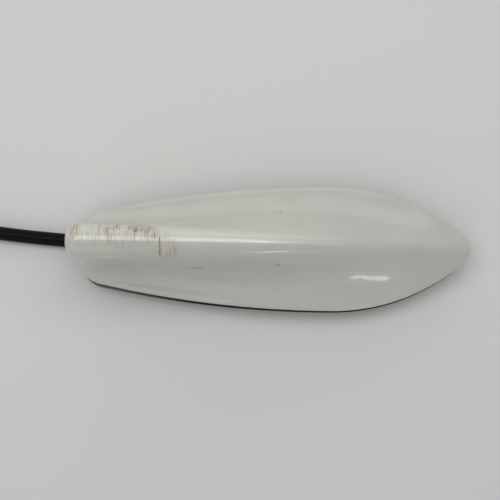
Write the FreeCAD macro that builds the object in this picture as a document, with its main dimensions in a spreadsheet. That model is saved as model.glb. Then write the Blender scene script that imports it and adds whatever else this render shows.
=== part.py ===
import FreeCAD, Part
import enum
import math
import os
import Sketcher

# Roof antenna in the shape of a fin: a moulded cover over a die-cast plate whose foot keys into the roof.
# Millimetres. The origin is on the roof bolt's axis at the bottom of the foot, +X to the nose, +Z up.

SIZES = {
    # plan outline of the cover, measured from its tail
    "cover_length": 172.7,
    "cover_width": 55.5,
    "tail_back": 75.7,
    "widest_at": 112,
    "tail_flat": 10.8,
    "tail_corner": 11.3,
    "nose_radius": 8.8,
    # heights of the cover above the foot's bottom and the roof
    "foot_height": 7.5,
    "lip_height": 1.2,
    "rim_band": 6,
    "fin_height": 52.5,
    "nose_rise": 1.2,
    # the fin's section, from the tail to the nose
    "crest_power": 1.65,
    "roll_radius": 7.2,
    "keel_radius": 3,
    "tail_draft": 3.5,
    "nose_break": 7,
    "valley_tail": 7,
    "valley_nose": 30,
    "skirt_slope": 16,
    # the fin's trailing edge and the cover's rim
    "tail_setback": 1.9,
    "tail_rake": 1.4,
    "tail_flare": 7,
    "tail_round": 5,
    "rim_round": 3,
    "wall": 2.2,
    # base plate and foot
    "nest_gap": 0.3,
    "plate_thick": 2.5,
    "foot_front": 18,
    "foot_back": 28,
    "foot_width": 22,
    "foot_corner": 5,
    "foot_chamfer": 0.8,
    # gasket, which has worked loose and slipped, and inner seal
    "lip_overhang": 0.3,
    "lip_round": 0.4,
    "foot_gap": 1.2,
    "slip_forward": 0.6,
    "slip_aside": 0.7,
    "slip_angle": 0.45,
    "bead_offset": 3,
    "bead_width": 1.6,
    "bead_height": 0.8,
    "seal_gap": 0.3,
    "seal_width": 1.6,
    "seal_height": 1.5,
    # threaded insert for the roof bolt
    "insert_radius": 4.5,
    "insert_height": 8,
    "bolt_bore_radius": 2.5,
    "bolt_bore_depth": 7,
    "fit_gap": 0.05,
    # posts and screws that hold the cover
    "nose_post_front": 70,
    "tail_post_back": 64,
    "post_radius": 3.2,
    "post_height": 16,
    "web_thick": 2.4,
    "cover_shank_radius": 1.4,
    "cover_shank_reach": 7,
    "pilot_spare": 1,
    "cover_head_radius": 2.7,
    "cover_head_height": 1.3,
    "hole_gap": 0.2,
    # main board and its screws
    "board_lift": 1,
    "board_thick": 1.2,
    "board_front": 60,
    "board_back": 55,
    "board_width": 28,
    "board_corner": 3,
    "boss_radius": 3,
    "boss_front": 54,
    "boss_back": 49,
    "boss_spread": 16,
    "board_shank_radius": 0.9,
    "board_shank_reach": 2.6,
    "board_head_radius": 1.8,
    "board_head_height": 1.2,
    # satellite patch
    "patch_front": 35,
    "patch_side": 20,
    "patch_height": 4,
    "patch_corner": 1,
    "tape_side": 18,
    "tape_height": 1,
    "feed_offset": 2.5,
    "feed_radius": 0.6,
    "feed_head_radius": 1.3,
    "feed_head_height": 0.4,
    "feed_below": 0.5,
    # receiver shield
    "can_back": 6,
    "can_length": 24,
    "can_width": 16,
    "can_height": 3.2,
    "can_sheet": 0.4,
    "can_corner": 1.5,
    # upright board in the fin with its folded plate and angle
    "upright_back": 57,
    "upright_front": 29,
    "upright_thick": 1.2,
    "upright_below_crest": 12,
    "sheet_thick": 0.5,
    "top_overhang": 2,
    "top_width": 6.4,
    "top_leg": 6,
    "angle_length": 12,
    "angle_leg": 8,
    "angle_foot": 5,
    # cable entry
    "entry_back": 20,
    "cable_radius": 3.1,
    "channel_gap": 0.9,
    "channel_roof": 9.6,
    "neck_radius": 4.6,
    "flange_radius": 5.8,
    "flange_height": 1.2,
    "opening_gap": 0.5,
    "collar_radius": 3.7,
    "collar_height": 3,
    "collar_chamfer": 0.6,
    "lead_radius": 0.9,
    "lead_spread": 3.2,
    "lead_rise": 1.6,
    "lead_reach": 8,
    # connector at the cable's outer end
    "ferrule_wall": 0.8,
    "ferrule_back": 9,
    "ferrule_front": 5,
    "housing_length": 23,
    "housing_width": 11,
    "housing_height": 9,
    "housing_round": 1.2,
    "shell_wall": 0.6,
    "shell_recess": 3,
    "insulator_length": 4,
    "contact_radius": 0.7,
    "contact_length": 10,
    "latch_width": 4,
    "latch_length": 15,
    "latch_height": 1.2,
}

# shares of the cover's length at which its section is drawn; the outer two lie past the ends
STATIONS = (-0.03, 0.18, 0.36, 0.54, 0.7, 0.86, 1.03)
# how far the cutting shapes reach past the cover
TRIM = 6

# the cable's route, chosen by hand: down through the plate, back along the foot's channel, out under the tail
ROUTE = [
    (-20, 0, 12.8),
    (-20, 0, 7.1),
    (-24, 0, 3.1),
    (-34, 0.3, 3.1),
    (-52, 1.2, 3.1),
    (-82, 3, 3.1),
    (-113.9, 6, 3.1),
    (-145.4, 11.3, 3.3),
    (-174.5, 18.5, 4.5),
    (-201, 27.5, 4.5),
]

# values that follow from the driving sizes
DERIVED = {
    "rim_level": "Sizes.foot_height + Sizes.lip_height",
    "edge_level": "Derived.rim_level + Sizes.rim_band",
    "crest_level": "Sizes.foot_height + Sizes.fin_height",
    "tail_x": "-Sizes.tail_back",
    "nose_x": "Sizes.cover_length - Sizes.tail_back",
    "widest_x": "Sizes.widest_at - Sizes.tail_back",
    "half_width": "Sizes.cover_width / 2",
    "tail_reach": "Sizes.widest_at - Sizes.tail_corner",
    "tail_drop": "Derived.half_width - Sizes.tail_flat / 2",
    "side_radius": (
        "(Derived.tail_reach^2 + Derived.tail_drop^2 - Sizes.tail_corner^2)"
        " / (2 * (Derived.tail_drop - Sizes.tail_corner))"
    ),
    "nose_reach": "Sizes.cover_length - Sizes.widest_at - Sizes.nose_radius",
    "shoulder_radius": (
        "(Derived.nose_reach^2 + Derived.half_width^2 - Sizes.nose_radius^2)"
        " / (2 * (Derived.half_width - Sizes.nose_radius))"
    ),
    "skirt_fall": "tan(Sizes.skirt_slope * 1 deg)",
    "skirt_stretch": "1 / cos(Sizes.skirt_slope * 1 deg)",
    "nose_draft": "90 - Sizes.skirt_slope - Sizes.nose_break",
    "span": f"Derived.half_width + {TRIM}",
    "cover_inset": "0",
    "core_inset": "Sizes.wall",
    "cover_tail_round": "Sizes.tail_round",
    "core_tail_round": "max(Sizes.tail_round - Sizes.wall; Sizes.wall / 4)",
    "cover_grow": "0",
    "core_grow": "-Sizes.wall",
    "trim_back": f"Derived.tail_x - {3 * TRIM}",
    "trim_front": f"Derived.nose_x + {3 * TRIM}",
    "trim_left": f"Derived.half_width + {3 * TRIM}",
    "trim_right": "-Derived.trim_left",
    "trim_depth": f"Derived.rim_level + {2 * TRIM}",
    "plate_top": "Derived.rim_level + Sizes.plate_thick",
    "nose_post_x": "Sizes.nose_post_front",
    "tail_post_x": "-Sizes.tail_post_back",
    "nose_post_height": "Derived.crest_level - Derived.plate_top",
    "web_length": "Sizes.tail_back - Sizes.tail_post_back",
    "web_low": "Derived.plate_top + Sizes.seal_height + Sizes.seal_gap",
    "web_height": "Derived.plate_top + Sizes.post_height - Derived.web_low",
    "pilot_radius": "Sizes.cover_shank_radius + Sizes.fit_gap",
    "pilot_depth": "Sizes.cover_shank_reach + Sizes.pilot_spare",
    "opening_back": "-(Sizes.foot_back + Sizes.foot_gap)",
    "opening_front": "Sizes.foot_front + Sizes.foot_gap",
    "opening_half": "Sizes.foot_width / 2 + Sizes.foot_gap",
    "opening_corner": "Sizes.foot_corner + Sizes.foot_gap",
    "plate_grow": "-(Sizes.wall + Sizes.nest_gap)",
    "foot_left": "-Sizes.foot_back",
    "foot_half": "Sizes.foot_width / 2",
    "insert_hole": "Sizes.insert_radius + Sizes.fit_gap",
    "entry_x": "-Sizes.entry_back",
    "entry_hole": "Sizes.neck_radius + Sizes.fit_gap",
    "channel_half": "Sizes.cable_radius + Sizes.channel_gap",
    "channel_end": "Derived.foot_left - 1",
    "screw_hole": "Sizes.cover_shank_radius + Sizes.hole_gap",
    "screw_sink": "Sizes.cover_head_radius + Sizes.hole_gap",
    "screw_sink_depth": "Sizes.cover_head_height + Sizes.hole_gap",
    "boss_left": "-Sizes.boss_back",
    "boss_half": "Sizes.boss_spread / 2",
    "boss_low": "-Derived.boss_half",
    "board_bottom": "Derived.plate_top + Sizes.board_lift",
    "board_pilot": "Sizes.board_shank_radius + Sizes.fit_gap",
    "zero": "0",
    "rim_bead_outer": "Sizes.lip_overhang - Sizes.bead_offset",
    "rim_bead_inner": "Derived.rim_bead_outer - Sizes.bead_width",
    "seal_outer_grow": "Derived.plate_grow - Sizes.seal_gap",
    "seal_inner_grow": "Derived.seal_outer_grow - Sizes.seal_width",
    "grommet_bore": "Sizes.cable_radius + Sizes.fit_gap",
    "grommet_top": "Derived.plate_top + Sizes.flange_height",
    "collar_shoulder": "Derived.collar_low + Sizes.collar_height - Sizes.collar_chamfer",
    "collar_high": "Derived.collar_low + Sizes.collar_height",
    "collar_neck": "Sizes.collar_radius - Sizes.collar_chamfer",
    "board_top": "Derived.board_bottom + Sizes.board_thick",
    "lead_half": "Sizes.lead_spread / 2",
    "lead_arch": "Sizes.lead_reach / 2",
    "lead_shoulder": "Derived.collar_high + Sizes.lead_rise",
    "lead_end": "Derived.entry_x + Sizes.lead_reach",
    "lead_plane": "-Derived.lead_half",
    "board_left": "-Sizes.board_back",
    "board_half": "Sizes.board_width / 2",
    "entry_opening": "Sizes.flange_radius + Sizes.opening_gap",
    "board_hole": "Sizes.board_shank_radius + Sizes.hole_gap",
    "feed_x": "Sizes.patch_front - Sizes.feed_offset",
    "feed_hole": "Sizes.feed_radius + Sizes.hole_gap",
    "board_shank": "Sizes.board_thick + Sizes.board_shank_reach - Sizes.fit_gap",
    "sink_level": "Derived.rim_level + Derived.screw_sink_depth",
    "cover_shank": "Derived.plate_top - Derived.sink_level + Sizes.cover_shank_reach",
    "tape_half": "Sizes.tape_side / 2",
    "tape_left": "Sizes.patch_front - Derived.tape_half",
    "tape_right": "Sizes.patch_front + Derived.tape_half",
    "tape_top": "Derived.board_top + Sizes.tape_height",
    "patch_top": "Derived.tape_top + Sizes.patch_height",
    "patch_half": "Sizes.patch_side / 2",
    "patch_left": "Sizes.patch_front - Derived.patch_half",
    "patch_right": "Sizes.patch_front + Derived.patch_half",
    "pin_low": "Derived.board_bottom - Sizes.feed_below",
    "pin_high": "Derived.patch_top + Sizes.feed_head_height",
    "can_left": "-Sizes.can_back",
    "can_right": "Derived.can_left + Sizes.can_length",
    "can_half": "Sizes.can_width / 2",
    "can_inner_left": "Derived.can_left + Sizes.can_sheet",
    "can_inner_right": "Derived.can_right - Sizes.can_sheet",
    "can_inner_half": "Derived.can_half - Sizes.can_sheet",
    "can_inner_corner": "Sizes.can_corner - Sizes.can_sheet",
    "can_inner_height": "Sizes.can_height - Sizes.can_sheet",
    "upright_left": "-Sizes.upright_back",
    "upright_right": "-Sizes.upright_front",
    "upright_top": "Derived.crest_level - Sizes.upright_below_crest",
    "top_half": "Sizes.top_width / 2",
    "top_low": "-Derived.top_half",
    "top_inner_half": "Derived.top_half - Sizes.sheet_thick",
    "top_inner_low": "-Derived.top_inner_half",
    "top_level": "Derived.upright_top + Sizes.sheet_thick",
    "top_leg_end": "Derived.upright_top - Sizes.top_leg",
    "top_plate_left": "Derived.upright_left - Sizes.top_overhang",
    "top_plate_length": "Derived.upright_right - Derived.upright_left + 2 * Sizes.top_overhang",
    "angle_face": "Sizes.upright_thick / 2",
    "angle_back": "Derived.angle_face + Sizes.sheet_thick",
    "angle_toe": "Derived.angle_face + Sizes.angle_foot",
    "angle_sole": "Derived.board_top + Sizes.sheet_thick",
    "angle_top": "Derived.board_top + Sizes.angle_leg",
    "angle_left": "(Derived.upright_left + Derived.upright_right - Sizes.angle_length) / 2",
    "ferrule_bore": "Sizes.cable_radius + Sizes.fit_gap",
    "ferrule_outer": "Derived.ferrule_bore + Sizes.ferrule_wall",
    "ferrule_start": "-Sizes.ferrule_back",
    "housing_bore": "Derived.ferrule_outer + Sizes.fit_gap",
    "housing_half": "Sizes.housing_width / 2",
    "housing_rise": "Sizes.housing_height / 2",
    "housing_low": "-Derived.housing_rise",
    "housing_right": "-Derived.housing_half",
    "shell_inner": "Derived.ferrule_outer - Sizes.shell_wall",
    "shell_end": "Sizes.housing_length - Sizes.shell_recess",
    "insulator_end": "Sizes.ferrule_front + Sizes.insulator_length",
    "insulator_outer": "Derived.shell_inner - Sizes.fit_gap",
    "insulator_bore": "Sizes.contact_radius + Sizes.fit_gap",
    "contact_end": "Sizes.ferrule_front + Sizes.contact_length",
    "latch_start": "Sizes.housing_length - Sizes.latch_length",
    "latch_top": "Derived.housing_rise + Sizes.latch_height",
    "collar_low": f"{ROUTE[0][2]}",
}

doc = FreeCAD.newDocument("roof_antenna")
sizes = doc.addObject("Spreadsheet::Sheet", "Sizes")
for row, (alias, measure) in enumerate(SIZES.items(), start=1):
    sizes.set(f"A{row}", alias)
    sizes.set(f"B{row}", str(measure))
    sizes.setAlias(f"B{row}", alias)
derived = doc.addObject("App::VarSet", "Derived")
doc.recompute()


def ref(name):
    """How an expression names a driving or derived value."""
    return f"Sizes.{name}" if name in SIZES else f"Derived.{name}"


def num(name):
    """A driving or derived value as a number."""
    return float(sizes.get(name)) if name in SIZES else float(getattr(derived, name))


def derive(name, formula):
    """Add a value worked out from others; the formula's words are names of values."""
    derived.addProperty("App::PropertyFloat", name)
    derived.setExpression(name, formula)


for name, formula in DERIVED.items():
    derive(name, formula)


def derive_station(number, share):
    """The section's heights, radii and angle at one share of the cover's length."""
    inside = min(max(share, 0), 1)
    past = f"({inside} * Sizes.cover_length - Sizes.widest_at)"
    behind = inside * num("cover_length") < num("widest_at")
    radius = ref("side_radius" if behind else "shoulder_radius")
    derive(f"station_{number}", f"{share} * Sizes.cover_length - Sizes.tail_back")
    derive(f"half_{number}", f"Derived.half_width - {past}^2 / (2 * {radius})")
    derive(f"edge_{number}",
           f"Derived.edge_level + (Derived.half_{number} - Derived.span) * Derived.skirt_fall")
    derive(f"draft_{number}",
           f"Sizes.tail_draft + (Derived.nose_draft - Sizes.tail_draft) * {inside}^2")
    derive(f"cover_valley_{number}",
           f"Sizes.valley_tail + (Sizes.valley_nose - Sizes.valley_tail) * {inside}")
    derive(f"core_valley_{number}", f"Derived.cover_valley_{number} + Sizes.wall")
    derive(f"cover_roll_{number}", f"Sizes.roll_radius + (Sizes.keel_radius - Sizes.roll_radius) * {inside}")
    derive(f"core_roll_{number}",
           f"max(Derived.cover_roll_{number} - Sizes.wall; Derived.cover_roll_{number} / 8)")


def derive_crest(number, share):
    """The crest's height at a station, falling from the fin's top to a little above the nose's skirt."""
    inside = min(max(share, 0), 1)
    last = len(STATIONS) - 1
    nose = f"(Derived.edge_level + Derived.half_{last} * Derived.skirt_fall + Sizes.nose_rise)"
    derive(f"crest_{number}", f"{nose} + (Derived.crest_level - {nose}) * (1 - {inside}^Sizes.crest_power)")


for station, place in enumerate(STATIONS):
    derive_station(station, place)
for station, place in enumerate(STATIONS):
    derive_crest(station, place)
for ring, grow in (("bead_inner", "Sizes.bead_offset"),
                   ("bead_outer", "(Sizes.bead_offset + Sizes.bead_width)")):
    derive(f"{ring}_back", f"Derived.opening_back - {grow}")
    derive(f"{ring}_front", f"Derived.opening_front + {grow}")
    derive(f"{ring}_half", f"Derived.opening_half + {grow}")
    derive(f"{ring}_corner", f"Derived.opening_corner + {grow}")
doc.recompute()


class Own(enum.IntEnum):
    """How a sketch's constraints name its own axes and the start of one."""

    LEVEL_AXIS = -1
    UPRIGHT_AXIS = -2
    START = 1


ORIGIN = (Own.LEVEL_AXIS, Own.START)
# play allowed where a face or an edge is found by its place
CLOSE = 0.01


def flat(x, y):
    """A point in a sketch's own plane."""
    return FreeCAD.Vector(x, y, 0)


def new_body(name):
    return doc.addObject("PartDesign::Body", name)


def sketch_on(body, name, role, offset=None):
    """A sketch on one of the body's own origin planes, moved along its normal by a named value."""
    sketch = body.newObject("Sketcher::SketchObject", f"{body.Name}_{name}")
    plane = next(item for item in body.Origin.OriginFeatures if item.Role == role)
    sketch.AttachmentSupport = (plane, [""])
    sketch.MapMode = "FlatFace"
    if offset:
        sketch.setExpression("AttachmentOffset.Base.z", ref(offset))
    return sketch


def line(sketch, start, end):
    return sketch.addGeometry(Part.LineSegment(flat(*start), flat(*end)))


def arc(sketch, start, end, centre):
    """An arc drawn counter-clockwise from start to end."""
    first = math.atan2(start[1] - centre[1], start[0] - centre[0])
    last = math.atan2(end[1] - centre[1], end[0] - centre[0])
    circle = Part.Circle(flat(*centre), FreeCAD.Vector(0, 0, 1), math.dist(start, centre))
    return sketch.addGeometry(Part.ArcOfCircle(circle, first, last))


def tie(sketch, kind, *targets):
    sketch.addConstraint(Sketcher.Constraint(kind, *targets))


def bind(sketch, kind, targets, expression, start):
    """A dimension whose value follows an expression; start is its first value."""
    index = sketch.addConstraint(Sketcher.Constraint(kind, *targets, start))
    sketch.setExpression(f"Constraints[{index}]", expression)


def follow(sketch, kind, targets, name):
    """A dimension whose value is a named value."""
    bind(sketch, kind, targets, ref(name), num(name))


def leaf_outline(sketch, grow):
    """The cover's plan outline, moved outwards by a named value: eight tangent lines and arcs."""
    more = num(grow)
    half = num("half_width") + more
    tail = num("tail_x") - more
    widest = num("widest_x")
    side = num("side_radius") + more
    corner = num("tail_corner") + more
    tip = num("nose_radius") + more
    shoulder = num("shoulder_radius") + more

    def beyond(centre, through, reach):
        spread = math.dist(centre, through)
        return tuple(c + (p - c) * reach / spread for c, p in zip(centre, through))

    def below(point):
        return point[0], -point[1]

    side_centre = (widest, half - side)
    shoulder_centre = (widest, half - shoulder)
    corner_centre = (tail + corner, num("tail_flat") / 2)
    tip_centre = (num("nose_x") - num("nose_radius"), 0)
    tail_end = (tail, num("tail_flat") / 2)
    corner_end = beyond(side_centre, corner_centre, side)
    widest_end = (widest, half)
    tip_end = beyond(shoulder_centre, tip_centre, shoulder)

    edges = [
        line(sketch, tail_end, below(tail_end)),
        arc(sketch, below(tail_end), below(corner_end), below(corner_centre)),
        arc(sketch, below(corner_end), below(widest_end), below(side_centre)),
        arc(sketch, below(widest_end), below(tip_end), below(shoulder_centre)),
        arc(sketch, below(tip_end), tip_end, tip_centre),
        arc(sketch, tip_end, widest_end, shoulder_centre),
        arc(sketch, widest_end, corner_end, side_centre),
        arc(sketch, corner_end, tail_end, corner_centre),
    ]
    for before, after in zip(edges, edges[1:] + edges[:1]):
        tie(sketch, "Tangent", before, 2, after, 1)
    tail_line, low_corner, low_side, _, tip_arc, _, high_side, high_corner = edges
    tie(sketch, "PointOnObject", tip_arc, 3, Own.LEVEL_AXIS)
    tie(sketch, "Vertical", high_side, 1, high_side, 3)
    tie(sketch, "Vertical", low_side, 2, low_side, 3)
    tie(sketch, "Symmetric", high_side, 1, low_side, 2, Own.LEVEL_AXIS)
    tie(sketch, "Symmetric", tail_line, 1, tail_line, 2, Own.LEVEL_AXIS)
    tie(sketch, "Equal", low_corner, high_corner)
    bind(sketch, "DistanceX", (tail_line, 1, *ORIGIN), f"{ref(grow)} - Derived.tail_x", -tail)
    bind(sketch, "Distance", (tail_line,), "Sizes.tail_flat", num("tail_flat"))
    bind(sketch, "DistanceX", (*ORIGIN, tip_arc, 3), "Derived.nose_x - Sizes.nose_radius", tip_centre[0])
    bind(sketch, "Radius", (tip_arc,), f"Sizes.nose_radius + {ref(grow)}", tip)
    bind(sketch, "DistanceX", (*ORIGIN, high_side, 1), "Derived.widest_x", widest)
    bind(sketch, "DistanceY", (*ORIGIN, high_side, 1), f"Derived.half_width + {ref(grow)}", half)
    bind(sketch, "Radius", (high_corner,), f"Sizes.tail_corner + {ref(grow)}", corner)


def rounded_box(sketch, left, right, half, corner):
    """A rectangle about the X axis with rounded corners, all sizes by name."""
    x0, x1, y1, r = num(left), num(right), num(half), num(corner)
    edges = [
        line(sketch, (x0 + r, -y1), (x1 - r, -y1)),
        arc(sketch, (x1 - r, -y1), (x1, -y1 + r), (x1 - r, -y1 + r)),
        line(sketch, (x1, -y1 + r), (x1, y1 - r)),
        arc(sketch, (x1, y1 - r), (x1 - r, y1), (x1 - r, y1 - r)),
        line(sketch, (x1 - r, y1), (x0 + r, y1)),
        arc(sketch, (x0 + r, y1), (x0, y1 - r), (x0 + r, y1 - r)),
        line(sketch, (x0, y1 - r), (x0, -y1 + r)),
        arc(sketch, (x0, -y1 + r), (x0 + r, -y1), (x0 + r, -y1 + r)),
    ]
    for before, after in zip(edges, edges[1:] + edges[:1]):
        tie(sketch, "Tangent", before, 2, after, 1)
    bottom, first, front, second, top, third, back, fourth = edges
    tie(sketch, "Horizontal", bottom)
    tie(sketch, "Vertical", front)
    tie(sketch, "Horizontal", top)
    tie(sketch, "Vertical", back)
    for other in (second, third, fourth):
        tie(sketch, "Equal", first, other)
    follow(sketch, "DistanceX", (*ORIGIN, back, 1), left)
    follow(sketch, "DistanceX", (*ORIGIN, front, 1), right)
    follow(sketch, "DistanceY", (*ORIGIN, top, 1), half)
    follow(sketch, "DistanceY", (bottom, 1, *ORIGIN), half)
    follow(sketch, "Radius", (first,), corner)


def polygon(sketch, corners):
    """A closed outline of level and upright lines; each corner is a pair of value names."""
    points = [(num(across), num(up)) for across, up in corners]
    sides = [line(sketch, start, end) for start, end in zip(points, points[1:] + points[:1])]
    for before, after in zip(sides, sides[1:] + sides[:1]):
        tie(sketch, "Coincident", before, 2, after, 1)
    for side, (across, up) in zip(sides, corners):
        follow(sketch, "DistanceX", (*ORIGIN, side, 1), across)
        follow(sketch, "DistanceY", (*ORIGIN, side, 1), up)


def circle(sketch, radius, x=None, y=None):
    """A circle with its radius and centre by name; a centre with no name lies on that axis."""
    centre = flat(num(x) if x else 0, num(y) if y else 0)
    ring = sketch.addGeometry(Part.Circle(centre, FreeCAD.Vector(0, 0, 1), num(radius)))
    follow(sketch, "Radius", (ring,), radius)
    if x:
        follow(sketch, "DistanceX", (*ORIGIN, ring, 3), x)
    else:
        tie(sketch, "PointOnObject", ring, 3, Own.UPRIGHT_AXIS)
    if y:
        follow(sketch, "DistanceY", (*ORIGIN, ring, 3), y)
    else:
        tie(sketch, "PointOnObject", ring, 3, Own.LEVEL_AXIS)


def pad(body, sketch, length, downwards=False, both_ways=False):
    feature = body.newObject("PartDesign::Pad", f"{sketch.Name}_pad")
    feature.Profile = sketch
    feature.setExpression("Length", ref(length))
    feature.Reversed = downwards
    feature.Midplane = both_ways
    doc.recompute()
    return feature


def pocket(body, sketch, depth=None, upwards=False):
    """A cut from a sketch that has to take something: by a named depth, or right through both ways."""
    before = body.Shape.Volume
    feature = body.newObject("PartDesign::Pocket", f"{sketch.Name}_cut")
    feature.Profile = sketch
    if depth:
        feature.setExpression("Length", ref(depth))
        feature.Reversed = upwards
    else:
        feature.Type = "ThroughAll"
        feature.Midplane = True
    doc.recompute()
    if not feature.Shape.Volume < before:
        raise RuntimeError(f"{feature.Name} cuts nothing")
    return feature


def turned(name, corners, x=None):
    """A body of revolution about an upright axis at x; corners are pairs of radius and height names."""
    body = new_body(name)
    sketch = sketch_on(body, "profile", "XZ_Plane")
    polygon(sketch, corners)
    feature = body.newObject("PartDesign::Revolution", f"{name}_turn")
    feature.Profile = sketch
    feature.ReferenceAxis = (sketch, ["V_Axis"])
    feature.Angle = 360
    doc.recompute()
    if x:
        body.setExpression("Placement.Base.x", ref(x))
    return body


def rounded(body, feature, name, edges, radius):
    fillet = body.newObject("PartDesign::Fillet", f"{body.Name}_{name}")
    fillet.Base = (feature, edges)
    fillet.setExpression("Radius", ref(radius))
    doc.recompute()
    return fillet


def level_edges(feature, level):
    """Names of the edges that lie in a level plane."""
    return [f"Edge{number}" for number, edge in enumerate(feature.Shape.Edges, start=1)
            if max(abs(edge.BoundBox.ZMin - level), abs(edge.BoundBox.ZMax - level)) < CLOSE]


def cylinder(name, radius, height, x, z):
    item = doc.addObject("Part::Cylinder", name)
    item.setExpression("Radius", ref(radius))
    item.setExpression("Height", ref(height))
    item.setExpression("Placement.Base.x", ref(x))
    item.setExpression("Placement.Base.z", ref(z))
    return item


def box(name, length, width, height, x, z):
    """A block centred across the X axis, from x and z upwards."""
    item = doc.addObject("Part::Box", name)
    item.setExpression("Length", ref(length))
    item.setExpression("Width", ref(width))
    item.setExpression("Height", ref(height))
    item.setExpression("Placement.Base.x", ref(x))
    item.setExpression("Placement.Base.y", f"-{ref(width)} / 2")
    item.setExpression("Placement.Base.z", ref(z))
    return item


def joined(kind, name, items):
    """A Part::MultiFuse or Part::Compound of several objects."""
    whole = doc.addObject(kind, name)
    setattr(whole, "Links" if kind == "Part::Compound" else "Shapes", items)
    return whole


def paired(kind, name, base, tool):
    """A Part::Cut or Part::Common of two objects."""
    result = doc.addObject(kind, name)
    result.Base = base
    result.Tool = tool
    return result


def half_section(body, number, face):
    """Half of the cover's cross-section at one station: skirt, valley, flank and rounded crest."""
    inset = num(f"{face}_inset")
    crest = num(f"crest_{number}") - inset
    roll = num(f"{face}_roll_{number}")
    valley = num(f"{face}_valley_{number}")
    draft = math.radians(num(f"draft_{number}"))
    slope = math.radians(num("skirt_slope"))
    span = num("span")
    edge = num(f"edge_{number}") - inset * num("skirt_stretch")

    # the valley's centre lies on the skirt's and the flank's lines, both moved out by its radius
    steep = 1 / math.tan(draft)
    skirt_rise = edge + span * math.tan(slope) + valley / math.cos(slope)
    flank_rise = crest - roll + (roll + valley) / math.sin(draft)
    centre_y = (flank_rise - skirt_rise) / (steep - math.tan(slope))
    centre = (centre_y, skirt_rise - centre_y * math.tan(slope))
    skirt_end = (centre[0] - valley * math.sin(slope), centre[1] - valley * math.cos(slope))
    flank_low = (centre[0] - valley * math.cos(draft), centre[1] - valley * math.sin(draft))
    flank_high = (roll * math.cos(draft), crest - roll + roll * math.sin(draft))

    sketch = sketch_on(body, f"section_{number}", "YZ_Plane", f"station_{number}")
    floor = line(sketch, (0, -TRIM), (span, -TRIM))
    outside = line(sketch, (span, -TRIM), (span, edge))
    skirt = line(sketch, (span, edge), skirt_end)
    hollow = arc(sketch, flank_low, skirt_end, centre)
    flank = line(sketch, flank_low, flank_high)
    crown = arc(sketch, flank_high, (0, crest), (0, crest - roll))
    middle = line(sketch, (0, crest), (0, -TRIM))
    tie(sketch, "Coincident", floor, 2, outside, 1)
    tie(sketch, "Coincident", outside, 2, skirt, 1)
    tie(sketch, "Tangent", skirt, 2, hollow, 2)
    tie(sketch, "Tangent", hollow, 1, flank, 1)
    tie(sketch, "Tangent", flank, 2, crown, 1)
    tie(sketch, "Coincident", crown, 2, middle, 1)
    tie(sketch, "Coincident", middle, 2, floor, 1)
    tie(sketch, "Horizontal", floor)
    tie(sketch, "Vertical", outside)
    tie(sketch, "PointOnObject", middle, 1, Own.UPRIGHT_AXIS)
    tie(sketch, "PointOnObject", middle, 2, Own.UPRIGHT_AXIS)
    tie(sketch, "PointOnObject", crown, 3, Own.UPRIGHT_AXIS)
    less = ref(f"{face}_inset")
    tie(sketch, "DistanceY", floor, 1, *ORIGIN, TRIM)
    follow(sketch, "DistanceX", (*ORIGIN, outside, 2), "span")
    bind(sketch, "DistanceY", (*ORIGIN, outside, 2),
         f"Derived.edge_{number} - {less} * Derived.skirt_stretch", edge)
    bind(sketch, "Angle", (skirt,), "180 - Sizes.skirt_slope", math.pi - slope)
    bind(sketch, "Angle", (flank,), f"90 + Derived.draft_{number}", math.pi / 2 + draft)
    follow(sketch, "Radius", (hollow,), f"{face}_valley_{number}")
    follow(sketch, "Radius", (crown,), f"{face}_roll_{number}")
    bind(sketch, "DistanceY", (*ORIGIN, middle, 1), f"Derived.crest_{number} - {less}", crest)
    return sketch


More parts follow.
